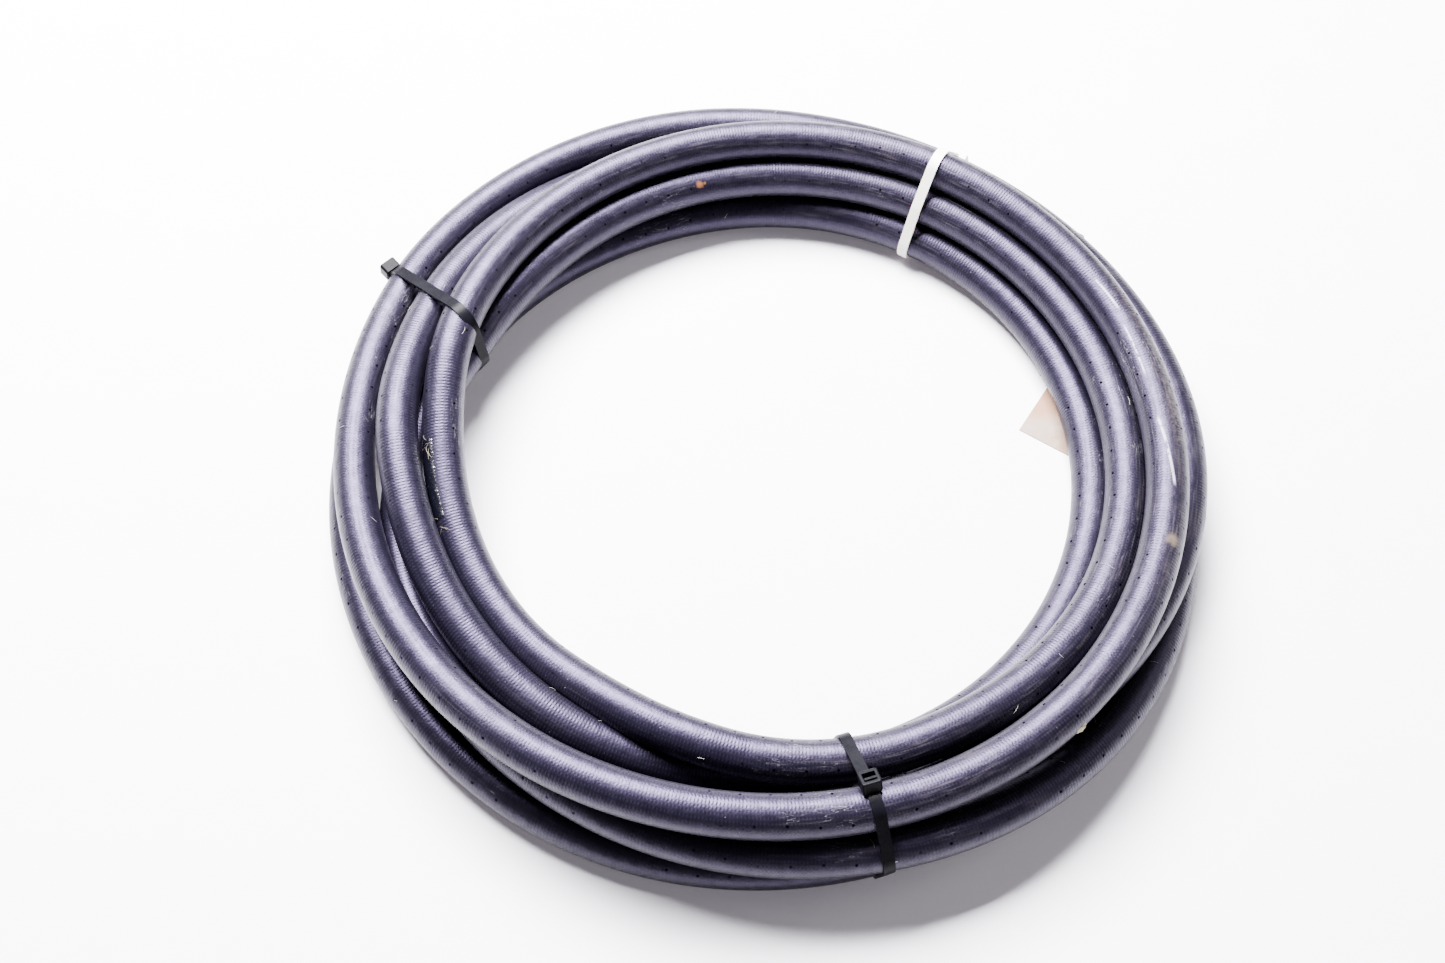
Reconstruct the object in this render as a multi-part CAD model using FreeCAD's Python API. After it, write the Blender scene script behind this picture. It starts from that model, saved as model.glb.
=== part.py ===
import FreeCAD, Part
import math
import os

# Coiled air hose: one length of braided rubber hose wound into a loose coil of nearly six turns,
# held by three cable ties, with a card tag tied to it.
# Millimetres.  +Z is up, the coil lies on Z = 0, and the origin is at the middle of the
# bounding box's base.  Places round the coil are clock angles, clockwise from +Y (12 o'clock).

os.makedirs("parts", exist_ok=True)

# ---------------------------------------------------------------- driving dimensions
HOSE_OD = 18.0              # 3/8 inch (10 mm) bore rubber air hose
HOSE_BORE = 10.0
LINER_OD = 13.0             # inner tube
BRAID_OD = 14.6             # textile braid between the inner tube and the cover
CUT_LENGTH = 26.0           # straight stretch at each cut end
LAYER_STEP = 0.6            # how far each inner layer stands back from the cover's cut face
END_GAP = 0.2               # between a cut end and the turns beside it
FITTING_ROOM = 100.0        # clear way for a fitting into each cut end

RING_X = -0.32                # middle of the turns, from the origin
RING_Y = 4.69

# Each row is one turn of the hose, from its start to its end: the middle of the hose at each
# hour of the clock, as (distance from the middle of the ring, height).  The first turn begins at
# 3 o'clock and the last one ends at half past one.
START_HOUR = 3
TURNS = (
    ((182, 9), (189, 9), (193, 24), (190, 26), (183, 26), (173, 18), (152, 25), (140, 23), (145, 24)),
    ((149, 25), (154, 25), (156, 25), (158, 25), (164, 27), (164, 28),
     (156, 29), (148, 22), (141, 17), (141, 37), (148, 38), (152, 39)),
    ((162, 38), (163, 38), (167, 38), (172, 39), (180, 41), (183, 38),
     (183, 39), (182, 41), (179, 36), (179, 28), (185, 24), (190, 18)),
    ((177, 26), (173, 25), (179, 25), (187, 26), (187, 24), (171, 10),
     (171, 9), (167, 9), (157, 9), (150, 9), (148, 9), (139, 9)),
    ((145, 9), (148, 9), (147, 9), (147, 9), (149, 9), (150, 9),
     (150, 9), (158, 22), (159, 29), (156, 42), (166, 34), (176, 25)),
    ((162, 9), (164, 9), (164, 9), (164, 9), (168, 9), (188, 9),
     (191, 9), (191, 9), (189, 9), (187, 9), (183, 9), (177, 9)),
    ((180, 9), (182, 9), (183, 9)),
)
STEPS_PER_TURN = 24         # route points in a full turn
DEGREES_PER_STEP = 360.0 / STEPS_PER_TURN
SETTLE_ROUNDS = 100
SMOOTH_ROUNDS = 70          # rounds in which the turns also straighten a little
SMOOTHING = 0.08

LIFTS = (                   # what the turns ride over: clock angles from and to, and its thickness
    (45.0, 105.0, 0.9),     # the card tag
    (164.0, 173.0, 1.8),    # the straps of the three ties
    (285.0, 302.0, 1.8),
    (26.0, 36.0, 1.8),
)
LIFT_RAMP = 20.0            # degrees over which they come down to the ground again

TIE_WIDTH = 4.8             # standard 4.8 mm nylon cable tie
TIE_THICKNESS = 1.3
TIES = (
    # name, clock angle, turn of the tie's plane from radial, the direction that its head faces
    # (degrees up from outwards), and how far the head lies past the turn that it sits on
    ("front_tie", 168.0, -5.0, 114.0, 1.2),
    ("left_tie", 293.8, 22.0, 10.0, 0.0),
    ("back_tie", 30.5, 0.0, 20.0, 2.2),
)
TIE_MIDDLE_RADIUS = 166.0
TIE_REACH = 60.0            # no turn in a tie is further than this from its middle
HEAD_LENGTH = 7.6
HEAD_WIDTH = 8.0
HEAD_HEIGHT = 5.4
WINDOW_LENGTH = 4.3
WINDOW_WIDTH = 5.3
TAIL_OFFSET = -1.35         # middle of the tail's thickness in the window
TAIL_STANDS_OUT = 0.8
TOOTH_PITCH = 0.9
TOOTH_DEPTH = 0.3
PAWL_WIDTH = 4.6
PAWL_HINGE = (1.7, 0.9)     # along the head, above its base
PAWL_FOOT_RADIUS = 0.4

TAG_LENGTH = 74.0
TAG_WIDTH = 40.0
TAG_THICKNESS = 0.4
TAG_CLOCK = 69.3            # where the eyelet is
TAG_EYELET_RADIUS = 182.0
TAG_TURN = 213.0            # direction from the eyelet to the free end, clockwise from +Y
EYELET_FROM_EDGE = 8.0
EYELET_HOLE = 4.4
EYELET_OD = 9.0
EYELET_HEIGHT = 1.0
STRING_RADIUS = 0.6
KNOT_RADIUS = 1.4

HULL_DIRECTIONS = 16        # corners of the coil's outline at each section
SECTION_STEP = 10.0         # degrees between sections
RADIUS = HOSE_OD / 2.0


# ---------------------------------------------------------------- the route of the hose
def hourly_places():
    places = []
    for turn in TURNS:
        places.extend(turn)
    return [(float(radius), float(height)) for radius, height in places]


def between(places, i):
    """Smooth value half way from hour i to hour i + 1."""
    before = places[max(i - 1, 0)]
    after = places[min(i + 2, len(places) - 1)]
    return tuple((9.0 * (places[i][k] + places[i + 1][k]) - before[k] - after[k]) / 16.0 for k in (0, 1))


def half_hourly_places():
    hours = hourly_places()
    places = []
    for i in range(len(hours) - 1):
        places.append(list(hours[i]))
        places.append(list(between(hours, i)))
    return places


def clock_of(step):
    return START_HOUR * 30.0 + step * DEGREES_PER_STEP


def floor_under(clock):
    """Height of what the turns lie on: the ground, a strap or the card tag."""
    clock = clock % 360.0
    height = 0.0
    for start, end, thickness in LIFTS:
        outside = max(start - clock, clock - end, 0.0)
        height = max(height, thickness * (1.0 - outside / LIFT_RAMP))
    return height


def push_apart(a, b):
    across = b[0] - a[0]
    up = b[1] - a[1]
    gap = math.hypot(across, up)
    if gap >= HOSE_OD or gap == 0.0:
        return
    share = 0.5 * (HOSE_OD - gap) / gap
    a[0] -= across * share
    a[1] -= up * share
    b[0] += across * share
    b[1] += up * share


def settled_places():
    """The turns pushed apart until none is nearer to another than a hose's diameter."""
    places = half_hourly_places()
    for done in range(SETTLE_ROUNDS):
        share = SMOOTHING * max(0.0, 1.0 - done / SMOOTH_ROUNDS)
        for step in range(1, len(places) - 1):
            for k in (0, 1):
                middle = 0.5 * (places[step - 1][k] + places[step + 1][k])
                places[step][k] += share * (middle - places[step][k])
        for first in range(STEPS_PER_TURN):
            group = places[first::STEPS_PER_TURN]
            for i in range(len(group)):
                for j in range(i + 1, len(group)):
                    push_apart(group[i], group[j])
        for step, place in enumerate(places):
            place[1] = max(place[1], RADIUS + floor_under(clock_of(step)))
    return places


def point_at(radius, clock, height):
    angle = math.radians(clock)
    x = RING_X + radius * math.sin(angle)
    y = RING_Y + radius * math.cos(angle)
    return FreeCAD.Vector(x, y, height)


def hose_line(places):
    """The hose's own line, which rounds the route's corners: a place for every half step."""
    at_half = math.cos(math.radians(DEGREES_PER_STEP / 2.0))
    at_whole = math.cos(math.radians(DEGREES_PER_STEP))
    line = [tuple(places[0])]
    for before, here, after in zip(places, places[1:], places[2:]):
        line.append(((before[0] + here[0]) / 2.0 * at_half, (before[1] + here[1]) / 2.0))
        line.append((((before[0] + after[0]) * at_whole + 6.0 * here[0]) / 8.0,
                     (before[1] + after[1] + 6.0 * here[1]) / 8.0))
    before, last = places[-2], places[-1]
    line.append(((before[0] + last[0]) / 2.0 * at_half, (before[1] + last[1]) / 2.0))
    line.append(tuple(last))
    return line


def strands_at(line, clock):
    """Where the turns cross the half plane at a clock angle: a list of (radius, height)."""
    found = []
    place = 2.0 * ((clock - START_HOUR * 30.0) % 360.0) / DEGREES_PER_STEP
    while place <= len(line) - 1 + 1e-9:
        i = min(int(place), len(line) - 2)
        part = place - i
        found.append(tuple(line[i][k] * (1.0 - part) + line[i + 1][k] * part for k in (0, 1)))
        place += 2 * STEPS_PER_TURN
    return found


# ---------------------------------------------------------------- the coil's outer shape
def outline(strands):
    """Corners of the tight outline round the hoses, one for each direction."""
    corners = []
    for i in range(HULL_DIRECTIONS):
        angle = 2.0 * math.pi * i / HULL_DIRECTIONS
        across, up = math.cos(angle), math.sin(angle)
        radius, height = max(strands, key=lambda strand: strand[0] * across + strand[1] * up)
        corners.append((radius + RADIUS * across, height + RADIUS * up))
    return corners


def coil_sections(line):
    """The outline's corners round the ring, with a step in the outline where the hose ends."""
    start = clock_of(0) % 360.0
    end = clock_of((len(line) - 1) / 2.0) % 360.0
    clocks = [i * SECTION_STEP for i in range(int(360.0 / SECTION_STEP))]
    clocks = [clock for clock in clocks if abs(clock - start) > 1.0 and abs(clock - end) > 1.0]
    clocks.extend(tie[1] for tie in TIES)
    clocks.extend((end, end + 0.02, start - 0.02, start))
    sections = []
    for clock in sorted(clocks):
        sections.append([point_at(r, clock, z) for r, z in outline(strands_at(line, clock))])
    return sections


def triangle(a, b, c):
    if (b - a).cross(c - a).Length < 1e-6:
        return None
    return Part.Face(Part.makePolygon([a, b, c, a]))


def ring_solid(sections):
    faces = []
    for i, near in enumerate(sections):
        far = sections[(i + 1) % len(sections)]
        for j in range(len(near)):
            k = (j + 1) % len(near)
            faces.append(triangle(near[j], near[k], far[k]))
            faces.append(triangle(near[j], far[k], far[j]))
    shell = Part.makeShell([face for face in faces if face is not None])
    solid = Part.makeSolid(shell)
    if solid.Volume < 0.0:
        solid.reverse()
    return solid


# ---------------------------------------------------------------- the hose's cut ends
def layer(base, direction, length, outer, inner):
    tube = Part.makeCylinder(outer / 2.0, length, base, direction)
    hole = Part.makeCylinder(inner / 2.0, length + 2.0, base - direction, direction)
    return tube.cut(hole)


def end_layers(name, base, direction):
    diameters = (("liner", LINER_OD, HOSE_BORE), ("braid", BRAID_OD, LINER_OD), ("cover", HOSE_OD, BRAID_OD))
    backs = {"liner": LAYER_STEP, "braid": 2.0 * LAYER_STEP, "cover": 0.0}
    shapes = {}
    for material, outer, inner in diameters:
        length = CUT_LENGTH - backs[material]
        shapes[name + "_" + material] = layer(base, direction, length, outer, inner)
    return shapes


# ---------------------------------------------------------------- cable ties
def convex_hull(points):
    """Corners of the convex hull, anticlockwise."""
    points = sorted(set(points))
    halves = []
    for ordered in (points, points[::-1]):
        half = []
        for p in ordered:
            while len(half) > 1:
                (ax, ay), (bx, by) = half[-2], half[-1]
                if (bx - ax) * (p[1] - ay) - (by - ay) * (p[0] - ax) > 0.0:
                    break
                half.pop()
            half.append(p)
        halves.append(half[:-1])
    return halves[0] + halves[1]


class TiePlane:
    """The upright plane that a tie lies in, with 'across' outwards from the ring's middle."""

    def __init__(self, clock, skew):
        self.middle = point_at(TIE_MIDDLE_RADIUS, clock, 0.0)
        angle = math.radians(clock + skew)
        self.across = FreeCAD.Vector(math.sin(angle), math.cos(angle), 0.0)
        self.up = FreeCAD.Vector(0.0, 0.0, 1.0)
        self.side = self.across.cross(self.up)

    def at(self, across, up, side=0.0):
        return self.middle + self.across * across + self.up * up + self.side * side

    def crossings(self, line):
        """Where the hose crosses the plane near the tie: a list of (across, up)."""
        found = []
        points = [point_at(r, clock_of(i / 2.0), z) - self.middle for i, (r, z) in enumerate(line)]
        for a, b in zip(points, points[1:]):
            from_a, from_b = a.dot(self.side), b.dot(self.side)
            if from_a * from_b <= 0.0 and abs(a.dot(self.across)) < TIE_REACH:
                crossing = a + (b - a) * (from_a / (from_a - from_b))
                found.append((crossing.dot(self.across), crossing.z))
        return found


def edge_runs(corners, offset):
    """Straight runs of the outline that stands off the hull's corners: (start, end, normal)."""
    runs = []
    for i, a in enumerate(corners):
        b = corners[(i + 1) % len(corners)]
        length = math.hypot(b[0] - a[0], b[1] - a[1])
        normal = ((b[1] - a[1]) / length, -(b[0] - a[0]) / length)
        start = (a[0] + normal[0] * offset, a[1] + normal[1] * offset)
        end = (b[0] + normal[0] * offset, b[1] + normal[1] * offset)
        runs.append((start, end, normal))
    return runs


def band_wire(plane, corners, offset, side):
    runs = edge_runs(corners, offset)
    edges = []
    for i, (start, end, normal) in enumerate(runs):
        edges.append(Part.LineSegment(plane.at(*start, side), plane.at(*end, side)).toShape())
        next_start, _, next_normal = runs[(i + 1) % len(runs)]
        corner = corners[(i + 1) % len(corners)]
        middle = (normal[0] + next_normal[0], normal[1] + next_normal[1])
        scale = offset / math.hypot(*middle)
        halfway = (corner[0] + middle[0] * scale, corner[1] + middle[1] * scale)
        arc = Part.Arc(plane.at(*end, side), plane.at(*halfway, side), plane.at(*next_start, side))
        edges.append(arc.toShape())
    return Part.Wire(edges)


def prism(profile, width):
    """A profile of (x, z) corners, given a width along y about y = 0."""
    corners = [FreeCAD.Vector(x, -width / 2.0, z) for x, z in profile]
    face = Part.Face(Part.makePolygon(corners + corners[:1]))
    return face.extrude(FreeCAD.Vector(0.0, width, 0.0))


def block(x_from, x_to, width, z_from, z_to):
    return prism(((x_from, z_from), (x_to, z_from), (x_to, z_to), (x_from, z_to)), width)


def head_shape():
    """The lock: a rounded block with a window right through it."""
    half = HEAD_LENGTH / 2.0
    body = block(-half, half, HEAD_WIDTH, 0.0, HEAD_HEIGHT)
    upright = [e for e in body.Edges if abs(e.Vertexes[0].Z - e.Vertexes[1].Z) > 1.0]
    body = body.makeFillet(1.2, upright)
    top = [e for e in body.Edges if min(v.Z for v in e.Vertexes) > HEAD_HEIGHT - 0.01]
    body = body.makeFillet(0.6, top)
    half_window = WINDOW_LENGTH / 2.0
    window = block(-half_window, half_window, WINDOW_WIDTH, -1.0, HEAD_HEIGHT + 1.0)
    return body.cut(window)


def tail_shape():
    """The tie's toothed tail, standing up through the head's window and cut off just above it."""
    back = TAIL_OFFSET - TIE_THICKNESS / 2.0
    front = TAIL_OFFSET + TIE_THICKNESS / 2.0 - TOOTH_DEPTH
    top = HEAD_HEIGHT + TAIL_STANDS_OUT
    profile = [(back, -0.4), (front, -0.4), (front, 0.2)]
    teeth = int((top - 0.3) / TOOTH_PITCH)
    for i in range(teeth):
        low = 0.3 + i * TOOTH_PITCH
        profile.append((front + TOOTH_DEPTH, low))
        profile.append((front, low + 0.8 * TOOTH_PITCH))
    profile.append((front, top))
    profile.append((back, top))
    return prism(profile, TIE_WIDTH)


def pawl_shape():
    """The toothed tongue in the window: it bends at its foot and lets the tail in, but not out."""
    foot, hinge_height = PAWL_HINGE
    tip, root = -0.2, 0.15
    low, high = hinge_height - PAWL_FOOT_RADIUS, hinge_height + PAWL_FOOT_RADIUS
    profile = [(foot, low), (foot, high), (1.1, 1.9), (1.0, 4.0), (0.3, 4.3)]
    for i in range(3):
        low = 4.1 - (i + 1) * TOOTH_PITCH
        profile.append((root, low + 0.8 * TOOTH_PITCH))
        profile.append((tip, low))
    profile.append((root, 1.2))
    profile.append((0.9, 0.5))
    start = FreeCAD.Vector(foot, -PAWL_WIDTH / 2.0, hinge_height)
    hinge = Part.makeCylinder(PAWL_FOOT_RADIUS, PAWL_WIDTH, start, FreeCAD.Vector(0.0, 1.0, 0.0))
    return prism(profile, PAWL_WIDTH).fuse(hinge).removeSplitter()


def placed(shape, origin, along, side, outward):
    """A shape drawn about the origin, put where its x, y and z axes take the given directions."""
    matrix = FreeCAD.Matrix(along.x, side.x, outward.x, origin.x,
                            along.y, side.y, outward.y, origin.y,
                            along.z, side.z, outward.z, origin.z,
                            0.0, 0.0, 0.0, 1.0)
    moved = shape.copy()
    moved.Placement = FreeCAD.Placement(matrix)
    return moved


def tie_shapes(line, name, clock, skew, head_direction, head_shift):
    plane = TiePlane(clock, skew)
    corners = convex_hull(plane.crossings(line))
    half = TIE_WIDTH / 2.0
    outer = band_wire(plane, corners, RADIUS + TIE_THICKNESS, -half)
    inner = band_wire(plane, corners, RADIUS, -half)
    band = Part.Face(outer).cut(Part.Face(inner)).Faces[0].extrude(plane.side * TIE_WIDTH)

    facing = math.radians(head_direction)
    faces_across, faces_up = math.cos(facing), math.sin(facing)
    under = max(corners, key=lambda corner: corner[0] * faces_across + corner[1] * faces_up)
    outward = plane.across * faces_across + plane.up * faces_up
    along = plane.across * -faces_up + plane.up * faces_across
    side = outward.cross(along)
    origin = plane.at(*under) + outward * (RADIUS + TIE_THICKNESS) + along * head_shift
    head = placed(head_shape(), origin, along, side, outward)
    tail = placed(tail_shape(), origin, along, side, outward)
    pawl = placed(pawl_shape(), origin, along, side, outward)
    strap = band.fuse(tail).removeSplitter()
    hinge = origin + along * PAWL_HINGE[0] + outward * PAWL_HINGE[1]
    print(name, "pawl hinge at", tuple(round(c, 3) for c in hinge), "axis", tuple(round(c, 5) for c in side))
    return {name + "_strap": strap, name + "_head": head, name + "_pawl": pawl}


# ---------------------------------------------------------------- the tag
def tag_shapes(line):
    eyelet = point_at(TAG_EYELET_RADIUS, TAG_CLOCK, 0.0)
    angle = math.radians(TAG_TURN)
    along = FreeCAD.Vector(math.sin(angle), math.cos(angle), 0.0)
    up = FreeCAD.Vector(0.0, 0.0, 1.0)
    side = up.cross(along)
    card = block(-EYELET_FROM_EDGE, TAG_LENGTH - EYELET_FROM_EDGE, TAG_WIDTH, 0.0, TAG_THICKNESS)
    clipped = [e for e in card.Edges
               if abs(e.Vertexes[0].Z - e.Vertexes[1].Z) > 0.1 and e.Vertexes[0].X < 0.0]
    card = card.makeChamfer(7.0, clipped)
    barrel = (EYELET_HOLE + 0.6) / 2.0
    card = card.cut(Part.makeCylinder(barrel, 2.0, FreeCAD.Vector(0.0, 0.0, -1.0)))
    rim = Part.makeCylinder(EYELET_OD / 2.0, EYELET_HEIGHT - TAG_THICKNESS, FreeCAD.Vector(0.0, 0.0, TAG_THICKNESS))
    ring = rim.fuse(Part.makeCylinder(barrel, EYELET_HEIGHT))
    ring = ring.cut(Part.makeCylinder(EYELET_HOLE / 2.0, 3.0, FreeCAD.Vector(0.0, 0.0, -1.0)))

    above = [s for s in strands_at(line, TAG_CLOCK) if abs(s[0] - TAG_EYELET_RADIUS) < RADIUS]
    strand = min(above, key=lambda s: s[1])
    top = strand[1] - math.sqrt(RADIUS ** 2 - (strand[0] - TAG_EYELET_RADIUS) ** 2)
    knot = Part.makeSphere(KNOT_RADIUS, eyelet + up * (KNOT_RADIUS + 0.1))
    string = knot.fuse(Part.makeCylinder(STRING_RADIUS, top - KNOT_RADIUS, eyelet + up * KNOT_RADIUS))
    print("tag eyelet at", tuple(round(c, 3) for c in eyelet))
    return {
        "tag_card": placed(card, eyelet, along, side, up),
        "tag_eyelet": placed(ring, eyelet, along, side, up),
        "tag_string": string,
    }


# ---------------------------------------------------------------- build and write
def main():
    places = settled_places()
    route = [point_at(r, clock_of(step), z) for step, (r, z) in enumerate(places)]
    line = hose_line(places)
    coil = ring_solid(coil_sections(line))
    shapes = {}
    for name, base, inside in (("inlet", route[0], route[1]), ("outlet", route[-1], route[-2])):
        direction = base - inside
        direction = FreeCAD.Vector(direction.x, direction.y, 0.0).normalize()
        shapes.update(end_layers(name, base, direction))
        coil = coil.cut(Part.makeCylinder(RADIUS + END_GAP, CUT_LENGTH + END_GAP, base, direction))
        coil = coil.cut(Part.makeCylinder(HOSE_BORE / 2.0 + 1.0, FITTING_ROOM, base, direction))
        print(name, "cut face at", base + direction * CUT_LENGTH, "facing", direction)
    shapes["hose_coil"] = coil
    for tie in TIES:
        shapes.update(tie_shapes(line, *tie))
    shapes.update(tag_shapes(line))

    points = [point_at(r, clock_of(i / 2.0), z) for i, (r, z) in enumerate(line)]
    length = sum((b - a).Length for a, b in zip(points, points[1:]))
    print("hose length", round(length + 2.0 * CUT_LENGTH), "mm")
    box = FreeCAD.BoundBox()
    for name, shape in shapes.items():
        box.add(shape.BoundBox)
        print(name, "valid", shape.isValid(), "solids", len(shape.Solids), "volume", round(shape.Volume, 1))
        shape.exportStep("parts/" + name + ".step")
    print("box", box)


main()
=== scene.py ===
import itertools
import math

import bpy
import mathutils
import numpy as np
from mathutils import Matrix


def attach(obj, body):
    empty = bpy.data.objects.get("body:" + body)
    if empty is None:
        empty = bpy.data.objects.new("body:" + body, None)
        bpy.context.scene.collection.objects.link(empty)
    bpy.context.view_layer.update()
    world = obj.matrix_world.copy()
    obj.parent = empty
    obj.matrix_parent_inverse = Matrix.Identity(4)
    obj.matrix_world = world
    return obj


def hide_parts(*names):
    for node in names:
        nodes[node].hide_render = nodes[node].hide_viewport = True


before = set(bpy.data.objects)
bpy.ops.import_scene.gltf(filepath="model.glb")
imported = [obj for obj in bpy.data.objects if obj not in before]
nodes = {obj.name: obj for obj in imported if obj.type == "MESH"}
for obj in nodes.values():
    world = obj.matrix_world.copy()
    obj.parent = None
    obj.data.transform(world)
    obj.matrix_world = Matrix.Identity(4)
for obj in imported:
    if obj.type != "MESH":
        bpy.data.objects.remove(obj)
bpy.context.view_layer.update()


# ================================================================ the hose
# One length of rubber air hose: a smooth inner tube, a textile braid and a thin black cover,
# pressed in a cloth wrap that leaves its weave on the rubber, and pin-pricked so that air can
# get out of the braid.  It is wound into a loose coil of nearly six turns.
HOSE_DIAMETER = 0.018
HOSE_RADIUS = HOSE_DIAMETER / 2
COVER_INSIDE = 0.0073
HOSE_ROUND = math.pi * HOSE_DIAMETER
CUT_LENGTH = 0.026
BORE_DEPTH = 0.029
CLEAR_OF_FACE = 0.0012
SKIN_SIDES = 44
RING_MIDDLE = (-0.00032, 0.00469)

# The middle of the hose at each hour of the clock, as (distance from the middle of the ring,
# height).  Each row is one turn; the first begins at 3 o'clock and the last ends at half past one.
TURNS = (
    ((0.182, 0.009), (0.189, 0.009), (0.193, 0.024), (0.190, 0.026), (0.183, 0.026), (0.173, 0.018),
     (0.152, 0.025), (0.140, 0.023), (0.145, 0.024)),
    ((0.149, 0.025), (0.154, 0.025), (0.156, 0.025), (0.158, 0.025), (0.164, 0.027), (0.164, 0.028),
     (0.156, 0.029), (0.148, 0.022), (0.141, 0.017), (0.141, 0.037), (0.148, 0.038), (0.152, 0.039)),
    ((0.162, 0.038), (0.163, 0.038), (0.167, 0.038), (0.172, 0.039), (0.180, 0.041), (0.183, 0.038),
     (0.183, 0.039), (0.182, 0.041), (0.179, 0.036), (0.179, 0.028), (0.185, 0.024), (0.190, 0.018)),
    ((0.177, 0.026), (0.173, 0.025), (0.179, 0.025), (0.187, 0.026), (0.187, 0.024), (0.171, 0.010),
     (0.171, 0.009), (0.167, 0.009), (0.157, 0.009), (0.150, 0.009), (0.148, 0.009), (0.139, 0.009)),
    ((0.145, 0.009), (0.148, 0.009), (0.147, 0.009), (0.147, 0.009), (0.149, 0.009), (0.150, 0.009),
     (0.150, 0.009), (0.158, 0.022), (0.159, 0.029), (0.156, 0.042), (0.166, 0.034), (0.176, 0.025)),
    ((0.162, 0.009), (0.164, 0.009), (0.164, 0.009), (0.164, 0.009), (0.168, 0.009), (0.188, 0.009),
     (0.191, 0.009), (0.191, 0.009), (0.189, 0.009), (0.187, 0.009), (0.183, 0.009), (0.177, 0.009)),
    ((0.180, 0.009), (0.182, 0.009), (0.183, 0.009)),
)
START_CLOCK = 90.0
STEPS_PER_TURN = 24
SETTLE_ROUNDS = 100
SMOOTH_ROUNDS = 70
SMOOTHING = 0.08

# what the turns ride over, as clock angles from and to, and its thickness: the card tag, and the
# straps of the front, left and back ties
LIFTS = ((45.0, 105.0, 0.0009), (164.0, 173.0, 0.0018), (285.0, 302.0, 0.0018), (26.0, 36.0, 0.0018))
LIFT_RAMP = 20.0


def clock_at(step):
    return START_CLOCK + step * 360.0 / STEPS_PER_TURN


def half_hourly_places():
    """The hours, with a smooth value (9 (p1 + p2) - p0 - p3) / 16 half way to each next one."""
    hours = np.array([hour for turn in TURNS for hour in turn])
    at = np.arange(len(hours) - 1)
    before, after = hours[np.maximum(at - 1, 0)], hours[np.minimum(at + 2, len(hours) - 1)]
    halves = (9.0 * (hours[:-1] + hours[1:]) - before - after) / 16.0
    return np.stack([hours[:-1], halves], 1).reshape(-1, 2)


def floor_under(clock):
    """Height of what the turns lie on: the ground, a strap or the card tag."""
    height = 0.0
    for start, end, thickness in LIFTS:
        outside = max(start - clock % 360.0, clock % 360.0 - end, 0.0)
        height = max(height, thickness * (1.0 - outside / LIFT_RAMP))
    return height


def push_apart(a, b):
    gap = np.linalg.norm(b - a)
    if 0.0 < gap < HOSE_DIAMETER:
        share = 0.5 * (HOSE_DIAMETER - gap) / gap * (b - a)
        a -= share
        b += share


def settled_places():
    """The turns straightened a little and pushed apart, until none is nearer to another than a
    hose's diameter."""
    places = half_hourly_places()
    for done in range(SETTLE_ROUNDS):
        share = SMOOTHING * max(0.0, 1.0 - done / SMOOTH_ROUNDS)
        for before, here, after in zip(places, places[1:], places[2:]):
            here += share * (0.5 * (before + after) - here)
        for first in range(STEPS_PER_TURN):
            for a, b in itertools.combinations(places[first::STEPS_PER_TURN], 2):
                push_apart(a, b)
        for step, place in enumerate(places):
            place[1] = max(place[1], HOSE_RADIUS + floor_under(clock_at(step)))
    return places


def route_points():
    """The route in x, y and z: x = r sin a and y = r cos a at the clock angle a, and each end has
    one more point, level with it, where the hose is cut."""
    radius, height = settled_places().T
    clock = np.radians(clock_at(np.arange(len(radius))))
    x = RING_MIDDLE[0] + radius * np.sin(clock)
    y = RING_MIDDLE[1] + radius * np.cos(clock)
    points = np.stack([x, y, height], 1)
    ends = []
    for base, inside in ((points[0], points[1]), (points[-1], points[-2])):
        outwards = (base - inside) * (1, 1, 0)
        ends.append(base + CUT_LENGTH * outwards / np.linalg.norm(outwards))
    return np.vstack([ends[:1], points, ends[1:]])


def smooth_line(points, name):
    """The points that Blender gives for a NURBS curve of order 3 through its two end points."""
    curve = bpy.data.curves.new(name, "CURVE")
    curve.dimensions = "3D"
    curve.resolution_u = 12
    spline = curve.splines.new("NURBS")
    spline.points.add(len(points) - 1)
    spline.points.foreach_set("co", np.hstack([points, np.ones((len(points), 1))]).ravel())
    spline.order_u = 3
    spline.use_endpoint_u = True
    holder = bpy.data.objects.new(name, curve)
    mesh = bpy.data.meshes.new_from_object(holder)
    line = np.empty(len(mesh.vertices) * 3)
    mesh.vertices.foreach_get("co", line)
    bpy.data.objects.remove(holder)
    bpy.data.curves.remove(curve)
    bpy.data.meshes.remove(mesh)
    return line.reshape(-1, 3)


def run_along(line):
    """Distance from the start of a line to each of its points."""
    return np.concatenate([[0.0], np.cumsum(np.linalg.norm(np.diff(line, axis=0), axis=1))])


def unit(vectors):
    return vectors / np.linalg.norm(vectors, axis=-1, keepdims=True)


class Line:
    """A line that surfaces are carried along: at a distance s it has a middle, and two directions
    square to it, 'aside' = tangent x reference and 'over' = aside x tangent."""

    def __init__(self, points, reference=(0, 0, 1)):
        self.points = points
        self.run = run_along(points)
        tangent = unit(np.gradient(points, axis=0))
        self.aside_at = unit(np.cross(tangent, reference))
        self.over_at = np.cross(self.aside_at, tangent)

    def along(self, values, s):
        return np.stack([np.interp(s, self.run, values[:, k]) for k in range(3)], -1)

    def surface(self, s, v, radius):
        """Points at distance s along, share v of the way round from the underside, and radius out:
        middle + radius (cos a aside + sin a over), with a = 2 pi v - pi / 2."""
        angle = 2 * np.pi * v - np.pi / 2
        aside, over = unit(self.along(self.aside_at, s)), unit(self.along(self.over_at, s))
        out = np.cos(angle)[..., None] * aside + np.sin(angle)[..., None] * over
        return self.along(self.points, s) + np.asarray(radius)[..., None] * out


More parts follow.
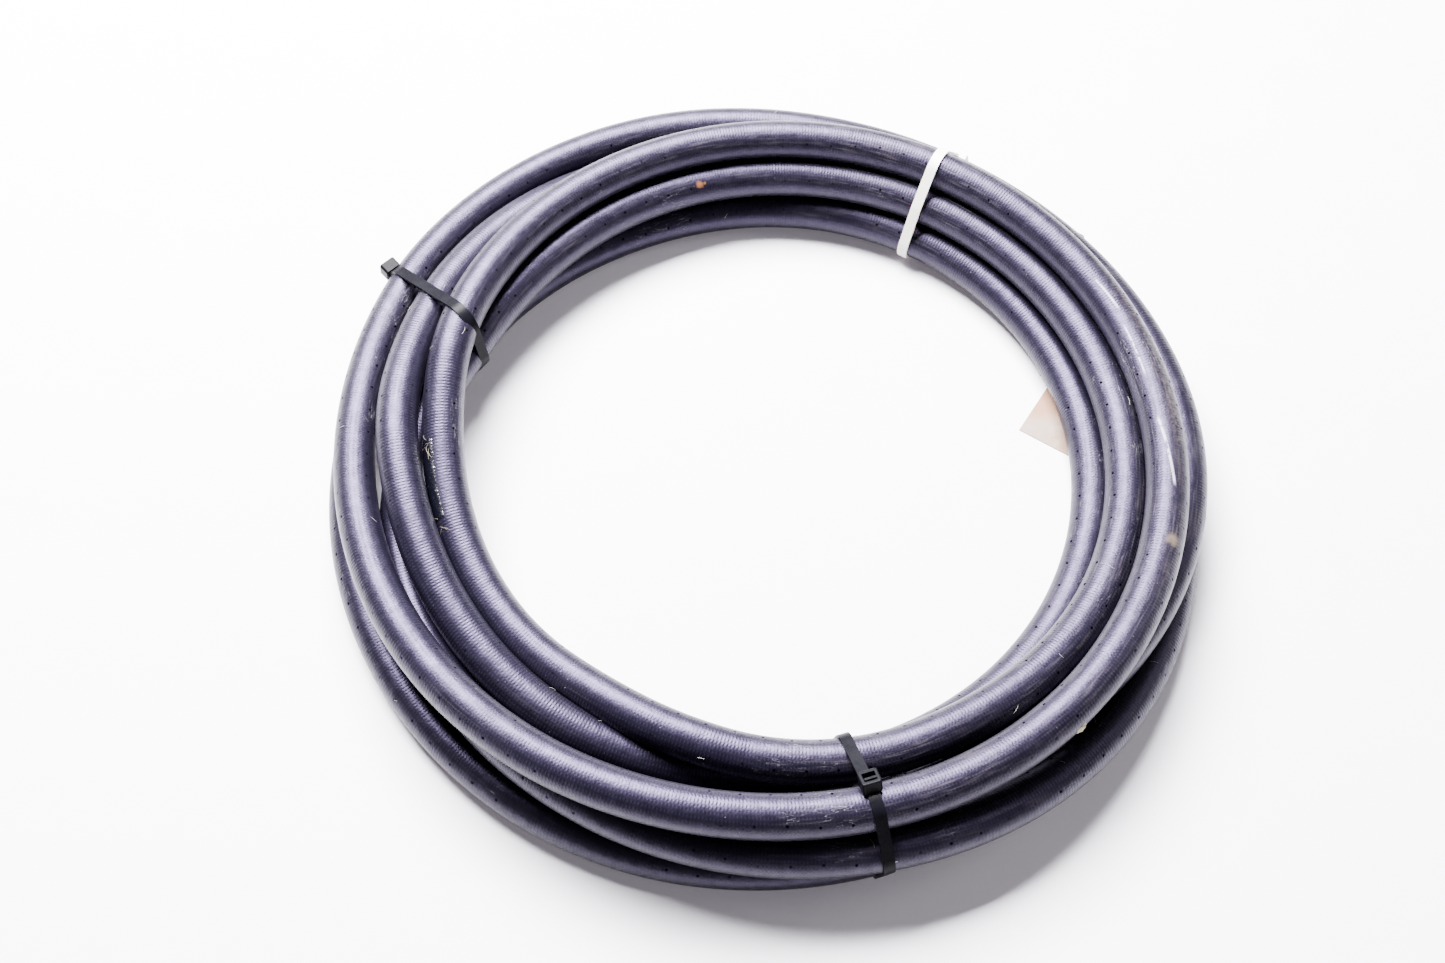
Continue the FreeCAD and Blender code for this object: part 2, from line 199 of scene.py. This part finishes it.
def tube_quads(rings, sides):
    """The faces between rings of points, as four point numbers each: (ring, side, 4)."""
    ring, side = np.meshgrid(np.arange(rings - 1), np.arange(sides), indexing="ij")
    here, after = ring * sides, (side + 1) % sides
    return np.stack([here + side, here + sides + side, here + sides + after, here + after], -1)


def make_piece(name, vertices, faces, uv=None, smooth=True):
    mesh = bpy.data.meshes.new(name)
    mesh.from_pydata(vertices.tolist(), [], faces)
    mesh.polygons.foreach_set("use_smooth", [smooth] * len(mesh.polygons))
    if uv is not None:
        mesh.uv_layers.new(name="along").data.foreach_set("uv", np.asarray(uv, np.float32).ravel())
    mesh.update()
    piece = bpy.data.objects.new(name, mesh)
    bpy.context.scene.collection.objects.link(piece)
    return piece


def closed_rings(name, rings, start_pole, end_pole, s, round_size):
    """A closed skin over rings of points (ring, point, 3), with a fan to a pole at each end.
    Its UV is (distance along, distance round), both in turns of the hose's own girth."""
    count, sides = rings.shape[:2]
    quads = tube_quads(count, sides)
    ring, side = np.meshgrid(np.arange(count - 1), np.arange(sides), indexing="ij")
    u, v = s / round_size, np.arange(sides + 1) / sides
    quad_uv = np.stack([np.stack([u[ring], v[side]], -1), np.stack([u[ring + 1], v[side]], -1),
                        np.stack([u[ring + 1], v[side + 1]], -1), np.stack([u[ring], v[side + 1]], -1)], 2)
    near, around = np.arange(sides), (np.arange(sides) + 1) % sides
    last = (count - 1) * sides
    fans = [[count * sides, a, b] for a, b in zip(near, around)]
    fans += [[count * sides + 1, last + b, last + a] for a, b in zip(near, around)]
    fan_uv = np.concatenate([np.tile([u[0], 0.5], (sides * 3, 1)), np.tile([u[-1], 0.5], (sides * 3, 1))])
    vertices = np.vstack([rings.reshape(-1, 3), [start_pole, end_pole]])
    faces = quads.reshape(-1, 4).tolist() + [[int(i) for i in fan] for fan in fans]
    return make_piece(name, vertices, faces, np.vstack([quad_uv.reshape(-1, 2), fan_uv]))


hose_line = Line(smooth_line(route_points(), "hose_line"))
hose_length = hose_line.run[-1]


def hose_skin():
    """Stations along the hose, each with a radius: the bore from its inner end out to the cut face,
    the face and its rounded edge, then the cover, and the same in reverse at the far end."""
    face = np.array([(BORE_DEPTH, COVER_INSIDE), (0.0, COVER_INSIDE), (0.0, 0.0086), (0.0001, 0.0089),
                     (0.0006, HOSE_RADIUS)])
    middle = hose_line.run[(hose_line.run > CLEAR_OF_FACE) & (hose_line.run < hose_length - CLEAR_OF_FACE)]
    s = np.concatenate([face[:, 0], middle, hose_length - face[::-1, 0]])
    radius = np.concatenate([face[:, 1], np.full(len(middle), HOSE_RADIUS), face[::-1, 1]])
    sides = SKIN_SIDES
    grid_s = np.repeat(s[:, None], sides, 1)
    grid_v = np.repeat(np.arange(sides)[None] / sides, len(s), 0)
    rings = hose_line.surface(grid_s, grid_v, np.repeat(radius[:, None], sides, 1))
    return closed_rings("air_hose", rings, rings[0].mean(0), rings[-1].mean(0), s, HOSE_ROUND)


class Finish:
    """A material under construction, with short ways to add nodes and join them."""

    def __init__(self, name, **values):
        self.material = bpy.data.materials.new(name)
        self.material.use_nodes = True
        self.tree = self.material.node_tree
        self.shader = self.tree.nodes["Principled BSDF"]
        for socket, value in values.items():
            self.shader.inputs[socket.replace("_", " ")].default_value = value

    def node(self, kind, settings=(), **inputs):
        node = self.tree.nodes.new("ShaderNode" + kind)
        for setting, value in dict(settings).items():
            setattr(node, setting, value)
        for socket, value in inputs.items():
            key = int(socket[1:]) if socket[1:].isdigit() else socket.replace("_", " ")
            self.feed(node.inputs[key], value)
        return node

    def feed(self, socket, value):
        if isinstance(value, bpy.types.NodeSocket):
            self.tree.links.new(value, socket)
        else:
            socket.default_value = value

    def math(self, operation, a, b=0.0, c=0.0):
        return self.node("Math", {"operation": operation}, i0=a, i1=b, i2=c).outputs[0]

    def place(self):
        return self.node("TexCoord").outputs["Object"]

    def noise(self, where, scale, detail=3.0, roughness=0.55, distortion=0.0):
        return self.node("TexNoise", Vector=where, Scale=scale, Detail=detail, Roughness=roughness,
                         Distortion=distortion).outputs["Fac"]

    def stretch(self, where, scale, turn=(0.0, 0.0, 0.0)):
        return self.node("Mapping", Vector=where, Scale=scale, Rotation=turn).outputs[0]

    def ramp(self, value, low, high, to_low=0.0, to_high=1.0):
        return self.node("MapRange", {"interpolation_type": "SMOOTHSTEP"}, Value=value, From_Min=low,
                         From_Max=high, To_Min=to_low, To_Max=to_high).outputs[0]

    def mix(self, share, a, b):
        node = self.node("Mix", {"data_type": "RGBA"})
        for socket, value in ((0, share), (6, a), (7, b)):
            self.feed(node.inputs[socket], value)
        return node.outputs[2]

    def spot(self, at, size, edge):
        """1 near a point, fading to 0 at its size, with an edge made ragged by a noise."""
        far = self.node("VectorMath", {"operation": "DISTANCE"}, i0=self.place(), i1=at).outputs["Value"]
        return self.ramp(self.math("ADD", far, self.math("MULTIPLY", edge, size)), size * 1.5, size * 0.6)

    def bump(self, height):
        """Height in metres."""
        node = self.node("Bump", Height=height, Distance=1.0, Strength=1.0)
        self.feed(self.shader.inputs["Normal"], node.outputs[0])

    def colour(self, value):
        self.feed(self.shader.inputs["Base Color"], value)

    def rough(self, value):
        self.feed(self.shader.inputs["Roughness"], value)


def hose_rubber():
    """Black rubber with the weave of its cloth wrap, pin-pricks in rows painted black as the shade in their
    holes, bloom, dust and scuffs.
    """
    finish = Finish("hose_rubber", Specular_IOR_Level=0.20, Specular_Tint=(0.68, 0.56, 1.0, 1))
    uv = finish.node("UVMap", {"uv_map": "along"}).outputs[0]
    parts = finish.node("SeparateXYZ", Vector=uv)
    u, v = parts.outputs[0], parts.outputs[1]
    place = finish.place()
    mottle = finish.noise(place, 260.0, 4.0)
    clouds = finish.noise(place, 21.0, 5.0, 0.62)
    wide = finish.noise(place, 6.5, 3.0)

    def wave(along, around):
        turned = finish.math("MULTIPLY", v, around * 2 * math.pi)
        phase = finish.math("MULTIPLY_ADD", u, along * 2 * math.pi, turned)
        return finish.math("SINE", phase)

    # the wrap's weave: threads across the hose, beaded by those along it, and the edges of its turns
    beads = finish.math("MULTIPLY_ADD", wave(0.5, 26.0), 0.4, 0.6)
    weave = finish.math("MULTIPLY", wave(40.0, 1.0), beads)
    lap = finish.math("POWER", finish.math("ABSOLUTE", wave(1.5, 1.0)), 24.0)
    worn = finish.ramp(finish.noise(place, 60.0, 3.0), 0.35, 0.65, 0.35, 1.0)

    # pin-pricks: rows that wander along the hose, with every other row set half a step on; each prick is a
    # tiny dimple, painted black as the shade inside its hole
    row = finish.math("MULTIPLY", v, PRICK_ROWS)
    stagger = finish.math("MULTIPLY", finish.math("FLOORED_MODULO", finish.math("FLOOR", row), 2.0), 0.5)
    step = finish.math("MULTIPLY_ADD", u, PRICKS_IN_GIRTH, stagger)
    wander = finish.noise(finish.stretch(uv, (0.9, 0.0, 0.0)), 1.0, 1.0)
    drift = finish.math("MULTIPLY_ADD", wander, 0.9, -0.45)
    across = finish.math("SUBTRACT", finish.math("FRACT", finish.math("ADD", row, drift)), 0.5)
    along = finish.math("SUBTRACT", finish.math("FRACT", step), 0.5)
    far_across = finish.math("POWER", finish.math("MULTIPLY", across, ROW_GAP), 2.0)
    far_along = finish.math("POWER", finish.math("MULTIPLY", along, PRICK_GAP), 2.0)
    far = finish.math("SQRT", finish.math("ADD", far_across, far_along))
    filled = finish.ramp(clouds, 0.40, 0.58, 0.35, 1.0)
    prick_and_painted_shade = finish.math("MULTIPLY", finish.ramp(far, PRICK_RIM, PRICK_FLOOR), filled)

    # dust that lies in streaks along the hose, and pale scuffs across it
    streaks = finish.noise(finish.stretch(uv, (3.0, 46.0, 1.0)), 1.0, 5.0, 0.7)
    dust = finish.math("MULTIPLY", finish.ramp(wide, 0.44, 0.68), finish.ramp(streaks, 0.46, 0.74))
    scuff_lines = finish.noise(finish.stretch(uv, (4.0, 30.0, 1.0), (0.0, 0.0, 0.25)), 1.0, 2.0, 0.5, 0.3)
    off_line = finish.math("ABSOLUTE", finish.math("SUBTRACT", scuff_lines, 0.5))
    scuff_lines = finish.ramp(off_line, 0.011, 0.002)
    scuffs = finish.math("MULTIPLY", scuff_lines, finish.ramp(clouds, 0.56, 0.7))
    specks = finish.ramp(finish.noise(place, 900.0, 1.0), 0.76, 0.84)

    # one stretch on the right has rubbed along the ground: brown dust, and three long pale scratches
    rubbed = finish.math("MULTIPLY", finish.ramp(u, 1.93 / HOSE_ROUND, 1.98 / HOSE_ROUND),
                         finish.ramp(u, 2.16 / HOSE_ROUND, 2.08 / HOSE_ROUND))
    outer_side = finish.math("MULTIPLY", finish.ramp(v, 0.46, 0.60), finish.ramp(v, 0.80, 0.62))
    rubbed = finish.math("MULTIPLY", rubbed, outer_side)
    patchy = finish.noise(place, 420.0, 5.0, 0.75, 0.4)
    rubbed = finish.math("MULTIPLY", rubbed, finish.ramp(patchy, 0.40, 0.66))
    rubbed = finish.math("MULTIPLY", rubbed, finish.ramp(clouds, 0.40, 0.58, 0.25, 1.0))
    broken = finish.ramp(finish.noise(place, 300.0, 3.0), 0.36, 0.5)
    scratches = 0.0
    for start, end, width in RUBBER_SCRATCHES:
        slope = (end[1] - start[1]) / (end[0] - start[0]) * HOSE_ROUND
        on_line = finish.math("MULTIPLY_ADD", finish.math("SUBTRACT", u, start[0] / HOSE_ROUND), -slope, v)
        off = finish.math("ABSOLUTE", finish.math("SUBTRACT", on_line, start[1]))
        mark = finish.ramp(off, width / HOSE_ROUND, 0.3 * width / HOSE_ROUND)
        scratch = finish.math("MULTIPLY", mark, broken)
        span = finish.math("MULTIPLY", finish.ramp(u, start[0] / HOSE_ROUND, (start[0] + 0.004) / HOSE_ROUND),
                           finish.ramp(u, end[0] / HOSE_ROUND, (end[0] - 0.004) / HOSE_ROUND))
        scratches = finish.math("MAXIMUM", finish.math("MULTIPLY", scratch, span), scratches)

    base = finish.mix(clouds, (0.0004, 0.0003, 0.0009, 1), (0.0020, 0.0017, 0.0036, 1))
    threads = finish.math("MULTIPLY", finish.ramp(weave, 0.0, 1.0), 0.35)
    base = finish.mix(threads, base, (0.007, 0.0064, 0.0110, 1))
    base = finish.mix(finish.math("MULTIPLY", dust, 0.30), base, (0.055, 0.047, 0.044, 1))
    base = finish.mix(finish.math("MULTIPLY", rubbed, 0.40), base, (0.050, 0.041, 0.038, 1))
    base = finish.mix(finish.math("MULTIPLY", scuffs, 0.5), base, (0.10, 0.095, 0.105, 1))
    base = finish.mix(finish.math("MULTIPLY", scratches, 0.8), base, (0.17, 0.16, 0.18, 1))
    base = finish.mix(finish.math("MULTIPLY", specks, 0.35), base, (0.14, 0.13, 0.12, 1))
    # painted shade: each pin-prick's hole is coloured black
    base = finish.mix(prick_and_painted_shade, base, (0.0, 0.0, 0.0, 1))
    ragged = finish.noise(place, 420.0, 3.0)
    for at, size, colour in RUBBER_SPOTS:
        base = finish.mix(finish.spot(at, size, finish.math("SUBTRACT", ragged, 0.5)), base, colour)
    finish.colour(base)
    # painted shade: Metallic 1 with the black colour makes each pin-prick reflect no light at all
    finish.feed(finish.shader.inputs["Metallic"], prick_and_painted_shade)

    rough = finish.math("MULTIPLY_ADD", mottle, 0.24, 0.29)
    rough = finish.math("ADD", rough, finish.math("MULTIPLY", dust, 0.25))
    finish.rough(finish.math("ADD", rough, finish.math("MULTIPLY", prick_and_painted_shade, 0.5)))
    height = finish.math("MULTIPLY", finish.math("MULTIPLY", weave, worn), 0.000050)
    height = finish.math("MULTIPLY_ADD", lap, 0.00003, height)
    height = finish.math("MULTIPLY_ADD", mottle, 0.00020, height)
    height = finish.math("MULTIPLY_ADD", finish.noise(place, 800.0, 3.0), 0.00008, height)
    height = finish.math("MULTIPLY_ADD", clouds, 0.0002, height)
    finish.bump(finish.math("MULTIPLY_ADD", prick_and_painted_shade, -0.00004, height))
    return finish.material


# pin-pricks: how many rows there are and how many in a row over one girth of the hose, the gaps
# between rows and between pricks in mm, and the radii in mm of a prick's rim and of its floor
PRICK_ROWS = 4.0
PRICKS_IN_GIRTH = 4.71
ROW_GAP = 14.1
PRICK_GAP = 12.0
PRICK_RIM, PRICK_FLOOR = 0.80, 0.42

# rust and dirt, as (place, size, colour), and scratches, as (start, end, width), each end being
# its distance along the hose and its share of the way round
RUBBER_SPOTS = (
    ((-0.0301, 0.1416, 0.0337), 0.0015, (0.065, 0.025, 0.008, 1)),
    ((-0.0278, 0.1424, 0.0340), 0.0007, (0.05, 0.022, 0.008, 1)),
    ((0.1640, -0.0600, 0.0500), 0.0030, (0.04, 0.031, 0.022, 1)),
)
RUBBER_SCRATCHES = (
    ((1.962, 0.455), (1.984, 0.475), 0.0007),
    ((1.990, 0.440), (2.020, 0.430), 0.0006),
    ((2.040, 0.430), (2.078, 0.520), 0.0008),
)

hose = hose_skin()
hose.data.materials.append(hose_rubber())
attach(hose, "root")
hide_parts("hose_coil", "inlet_cover", "outlet_cover")


# ================================================================ the cut ends
# At each cut end the cream textile braid and the smooth black inner tube show inside the cover,
# each a little further back, as a hose knife leaves them.
def inner_tube_rubber():
    finish = Finish("inner_tube_rubber", Specular_IOR_Level=0.5)
    place = finish.place()
    grain = finish.noise(place, 1500.0, 3.0)
    finish.colour(finish.mix(grain, (0.0020, 0.0020, 0.0028, 1), (0.0070, 0.0068, 0.0085, 1)))
    finish.rough(finish.math("MULTIPLY_ADD", grain, 0.25, 0.42))
    finish.bump(finish.math("MULTIPLY", grain, 0.00006))
    return finish.material


def braid_textile():
    """Yarn ends cut across: pale specks with darker rubber between them."""
    finish = Finish("braid_textile", Roughness=0.85, Sheen_Weight=0.25)
    place = finish.place()
    yarn = finish.node("TexVoronoi", Vector=place, Scale=1150.0).outputs["Distance"]
    fray = finish.noise(place, 2600.0, 3.0)
    base = finish.mix(finish.ramp(yarn, 0.25, 0.55), (0.28, 0.25, 0.19, 1), (0.05, 0.042, 0.032, 1))
    finish.colour(finish.mix(finish.math("MULTIPLY", fray, 0.35), base, (0.36, 0.33, 0.28, 1)))
    finish.bump(finish.math("MULTIPLY_ADD", yarn, -0.0003, finish.math("MULTIPLY", fray, 0.0001)))
    return finish.material


def give(material, *names):
    """The material goes into the material slot of each of these frame nodes."""
    for name in names:
        nodes[name].material_slots[0].material = material


give(inner_tube_rubber(), "inlet_liner", "outlet_liner")
give(braid_textile(), "inlet_braid", "outlet_braid")


# ================================================================ tape, glue and fibres on the hose
# A scrap of glossy black tape is left on the second turn, torn at both ends, with brown fibres
# of its cloth backing.  There is a dried spot of glue near the front, and a few hairs of dust.
random = np.random.default_rng(7)


def ragged_noise(x, y, size, seed):
    """Sum of eight sine waves that run in random directions, scaled to about -1 to 1."""
    rng = np.random.default_rng(seed)
    total = np.zeros(np.broadcast(x, y).shape)
    for octave in range(8):
        direction = rng.uniform(0, 2 * np.pi)
        wave = 2 * np.pi / size * (1.0 + 0.75 * octave)
        phase = wave * (x * np.cos(direction) + y * np.sin(direction)) + rng.uniform(0, 2 * np.pi)
        total += np.sin(phase) / (1.0 + 0.5 * octave)
    return total / 2.2


def skin_patch(name, start, end, low, high, lift, grid=(120, 36)):
    """A closed thin patch on the hose from start to end along it and from low to high round it.
    Its top stands at lift(a, b) above the rubber, a and b running from -1 to 1, and its underside
    lies 0.1 mm in the rubber; the edges meet."""
    a, b = np.meshgrid(np.linspace(-1, 1, grid[0]), np.linspace(-1, 1, grid[1]), indexing="ij")
    s = start + (end - start) * (a + 1) / 2
    v = low + (high - low) * (b + 1) / 2
    bottom = hose_line.surface(s, v, np.full(s.shape, HOSE_RADIUS - 0.0001))
    inside = (np.abs(a) < 1) & (np.abs(b) < 1)
    top = hose_line.surface(s, v, HOSE_RADIUS + np.where(inside, lift(a, b), -0.0001))
    count = a.size
    index = np.arange(count).reshape(a.shape)
    quads = np.stack([index[:-1, :-1], index[1:, :-1], index[1:, 1:], index[:-1, 1:]], -1).reshape(-1, 4)
    faces = quads.tolist() + (quads[:, ::-1] + count).tolist()
    piece = make_piece(name, np.vstack([top.reshape(-1, 3), bottom.reshape(-1, 3)]), faces)
    return piece


def tape_lift(a, b):
    """0.14 mm thick inside a torn outline, and below the rubber's surface outside it."""
    torn = ragged_noise(a * 3, b, 1.4, 3) * 0.10
    edge = 1.0 - np.maximum(np.abs(a) ** 3, np.abs(b) ** 6) - np.abs(torn) * 1.1
    wrinkle = 0.00005 * ragged_noise(a * 4, b * 1.2, 0.8, 5)
    return np.clip(edge * 0.0012, -0.0001, 0.00014) + np.where(edge > 0.1, wrinkle, 0.0)


def tape_gloss():
    finish = Finish("tape_gloss", Specular_IOR_Level=0.6, Coat_Weight=0.6, Coat_Roughness=0.08)
    place = finish.place()
    wear = finish.noise(place, 330.0, 5.0, 0.65)
    worn_through = finish.ramp(wear, 0.66, 0.80)
    finish.colour(finish.mix(worn_through, (0.001, 0.001, 0.002, 1), (0.05, 0.034, 0.018, 1)))
    finish.rough(finish.ramp(wear, 0.55, 0.8, 0.14, 0.5))
    finish.bump(finish.math("MULTIPLY", finish.noise(place, 120.0, 2.0), 0.0004))
    return finish.material


def dried_glue():
    finish = Finish("dried_glue", Subsurface_Weight=0.2, Coat_Weight=0.2)
    place = finish.place()
    crust = finish.noise(place, 700.0, 4.0)
    finish.colour(finish.mix(crust, (0.38, 0.32, 0.17, 1), (0.20, 0.13, 0.06, 1)))
    finish.rough(finish.math("MULTIPLY_ADD", crust, 0.4, 0.3))
    finish.bump(finish.math("MULTIPLY", crust, 0.0006))
    return finish.material


def glue_lift(a, b):
    """A low lumpy dome, 0.7 mm high in its middle."""
    dome = 1.0 - a ** 2 - b ** 2 + 0.45 * ragged_noise(a, b, 1.1, 9)
    return np.clip(dome * 0.0007, -0.0001, 0.0009)


def hairs(name, places, length, thickness):
    """Thin hairs that lie on the hose.  Each is a closed tube along an arc that starts at (s0, v0),
    with q its direction:
    s = s0 + L (t cos q - bend t^2 sin q),  v = v0 + L (t sin q + bend t^2 cos q) / girth."""
    steps, sides = 9, 5
    t = np.linspace(0, 1, steps)
    vertices, faces = [], []
    for s0, v0 in places:
        turn = random.uniform(0, 2 * np.pi)
        bend = random.uniform(-0.6, 0.6)
        size = length * random.uniform(0.4, 1.0)
        s = s0 + size * (np.cos(turn) * t - np.sin(turn) * bend * t ** 2)
        v = v0 + size * (np.sin(turn) * t + np.cos(turn) * bend * t ** 2) / HOSE_ROUND
        arch = 0.0004 * random.uniform(0, 1) * np.sin(np.pi * t)
        path = hose_line.surface(s, v, HOSE_RADIUS + thickness * 0.4 + arch)
        around = np.array(v0)
        out = hose_line.surface(s0, around, 1.0) - hose_line.surface(s0, around, 0.0)
        line = Line(path, reference=out)
        taper = thickness / 2 * np.sqrt(np.clip(1.0 - (2 * t - 1) ** 8, 0.02, 1))
        grid_v = np.repeat(np.arange(sides)[None] / sides, steps, 0)
        grid_s = np.repeat(line.run[:, None], sides, 1)
        rings = line.surface(grid_s, grid_v, np.repeat(taper[:, None], sides, 1))
        first = sum(len(part) for part in vertices)
        vertices.append(rings.reshape(-1, 3))
        faces += (tube_quads(steps, sides).reshape(-1, 4) + first).tolist()
        faces.append([first + i for i in range(sides)])
        faces.append([first + (steps - 1) * sides + i for i in reversed(range(sides))])
    return make_piece(name, np.vstack(vertices), faces)


def fibre(name, colour):
    finish = Finish(name, Roughness=0.7)
    grain = finish.noise(finish.place(), 900.0, 2.0)
    finish.colour(finish.mix(grain, colour, tuple(0.45 * c for c in colour[:3]) + (1,)))
    return finish.material


tape = skin_patch("tape_scrap", 1.4960, 1.5330, 0.565, 0.745, tape_lift)
tape.data.materials.append(tape_gloss())
glue = skin_patch("glue_spot", 2.1885, 2.1935, 0.71, 0.79, glue_lift, (40, 40))
glue.data.materials.append(dried_glue())
torn_ends = [(random.normal(1.5300, 0.0050), random.normal(0.62, 0.020)) for _ in range(9)]
torn_ends += [(random.normal(1.4965, 0.0022), random.normal(0.63, 0.025)) for _ in range(4)]
tape_fibres = hairs("tape_fibres", torn_ends, 0.0050, 0.00013)
tape_fibres.data.materials.append(fibre("brown_fibre", (0.085, 0.062, 0.034, 1)))
lint = [(random.uniform(0.05, hose_length - 0.05), random.uniform(0.3, 0.7)) for _ in range(70)]
dust_hairs = hairs("dust_hairs", lint, 0.0050, 0.00012)
dust_hairs.data.materials.append(fibre("pale_lint", (0.22, 0.21, 0.19, 1)))
for piece in (tape, glue, tape_fibres, dust_hairs):
    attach(piece, "root")


# ================================================================ the cable ties
# Two black ties and one undyed white one, moulded in nylon in one piece: a strap, a head with a
# window, and a toothed pawl that bends at its foot.  Each tail is cut off just above its head.
def nylon(name, dark, light, **values):
    """Moulded nylon: fine grain from the mould and flow marks."""
    finish = Finish(name, **values)
    place = finish.place()
    grain = finish.noise(place, 1300.0, 3.0)
    flow = finish.noise(place, 140.0, 4.0, 0.6, 0.6)
    finish.colour(finish.mix(flow, dark, light))
    finish.rough(finish.math("MULTIPLY_ADD", flow, 0.25, 0.27))
    finish.bump(finish.math("MULTIPLY_ADD", grain, 0.00003, finish.math("MULTIPLY", flow, 0.00012)))
    return finish.material


black_nylon = nylon("black_nylon", (0.0006, 0.0006, 0.0010, 1), (0.002, 0.002, 0.0030, 1),
                    Specular_IOR_Level=0.025)
white_nylon = nylon("white_nylon", (0.40, 0.395, 0.36, 1), (0.50, 0.495, 0.46, 1), Subsurface_Weight=0.35,
                    Subsurface_Scale=0.002, Specular_IOR_Level=0.5)
give(black_nylon, "front_tie_strap", "front_tie_head", "front_tie_pawl", "left_tie_strap", "left_tie_head",
     "left_tie_pawl")
give(white_nylon, "back_tie_strap", "back_tie_head", "back_tie_pawl")


# ================================================================ the tag
# A card tag under the turns on the right, tied to the hose with cotton string through a brass
# eyelet.  Its card has brown blotches, and is darker brown where it meets the hose.
def tag_card():
    finish = Finish("tag_card", Specular_IOR_Level=0.25, Roughness=0.8)
    place = finish.place()
    pulp = finish.noise(place, 520.0, 6.0, 0.7)
    blotch = finish.noise(place, 38.0, 4.0, 0.6)
    base = finish.mix(pulp, (0.120, 0.090, 0.072, 1), (0.160, 0.125, 0.105, 1))
    base = finish.mix(finish.ramp(blotch, 0.45, 0.72), base, (0.100, 0.058, 0.036, 1))
    # darker brown towards the place where the card meets the hose
    corner = finish.spot((0.1310, 0.0440, 0.0004), 0.013, finish.math("SUBTRACT", blotch, 0.5))
    finish.colour(finish.mix(finish.math("MULTIPLY", corner, 0.75), base, (0.13, 0.060, 0.030, 1)))
    finish.bump(finish.math("MULTIPLY", pulp, 0.0001))
    return finish.material


def eyelet_brass():
    finish = Finish("eyelet_brass", Metallic=1.0)
    tarnish = finish.noise(finish.place(), 240.0, 4.0)
    finish.colour(finish.mix(tarnish, (0.50, 0.36, 0.15, 1), (0.20, 0.13, 0.06, 1)))
    finish.rough(finish.math("MULTIPLY_ADD", tarnish, 0.4, 0.22))
    finish.bump(finish.math("MULTIPLY", tarnish, 0.0001))
    return finish.material


def string_cotton():
    finish = Finish("string_cotton", Roughness=0.9, Sheen_Weight=0.3)
    fluff = finish.noise(finish.place(), 2200.0, 4.0)
    finish.colour(finish.mix(fluff, (0.34, 0.30, 0.23, 1), (0.20, 0.17, 0.12, 1)))
    finish.bump(finish.math("MULTIPLY", fluff, 0.00025))
    return finish.material


give(tag_card(), "tag_card")
give(eyelet_brass(), "tag_eyelet")
give(string_cotton(), "tag_string")


# ================================================================ the floor, the light and the camera
# The coil lies on a plain white board under one large soft light, a little behind it. The board glows faintly
# lavender: painted light that lightens and tints the shadows on it.
def floor_board():
    # painted light: a faint lavender glow that lightens and tints the shadows on the board
    finish = Finish("floor_board", Specular_IOR_Level=0.15, Emission_Color=(0.94, 0.84, 0.98, 1),
                    Emission_Strength=0.15)
    grain = finish.noise(finish.place(), 30.0, 4.0)
    finish.colour(finish.mix(grain, (0.44, 0.43, 0.455, 1), (0.47, 0.46, 0.485, 1)))
    finish.rough(finish.math("MULTIPLY_ADD", grain, 0.2, 0.6))
    return finish.material


half = 4.0
corners = np.array([(-half, -half, 0), (half, -half, 0), (half, half, 0), (-half, half, 0)])
floor = make_piece("floor", corners, [[0, 1, 2, 3]], smooth=False)
floor.data.materials.append(floor_board())


def soft_light(name, place, aim, size, power, colour):
    light = bpy.data.lights.new(name, "AREA")
    light.shape = "RECTANGLE"
    light.size, light.size_y = size
    light.energy = power
    light.color = colour
    lamp = bpy.data.objects.new(name, light)
    bpy.context.scene.collection.objects.link(lamp)
    lamp.location = place
    away = mathutils.Vector(place) - mathutils.Vector(aim)
    lamp.rotation_euler = away.to_track_quat("Z", "Y").to_euler()
    return lamp


soft_light("overhead_light", (-0.30, 0.78, 1.20), (0.0, 0.05, 0.0), (1.05, 0.70), 760.0, (0.98, 0.97, 1.0))
soft_light("side_light", (1.5, 0.2, 1.2), (0.0, 0.0, 0.0), (0.8, 0.8), 14.0, (0.97, 0.97, 1.0))
world = bpy.data.worlds.new("studio")
world.use_nodes = True
world.node_tree.nodes["Background"].inputs["Color"].default_value = (0.93, 0.92, 1.0, 1)
world.node_tree.nodes["Background"].inputs["Strength"].default_value = 0.22
bpy.context.scene.world = world

camera_data = bpy.data.cameras.new("camera")
camera_data.sensor_width = 36.0
camera_data.lens = 42.03
camera = bpy.data.objects.new("camera", camera_data)
camera.location = (-0.01932, -0.38431, 0.66086)
camera.rotation_euler = (math.radians(30.0), 0.0, 0.0)
bpy.context.scene.collection.objects.link(camera)
bpy.context.scene.camera = camera
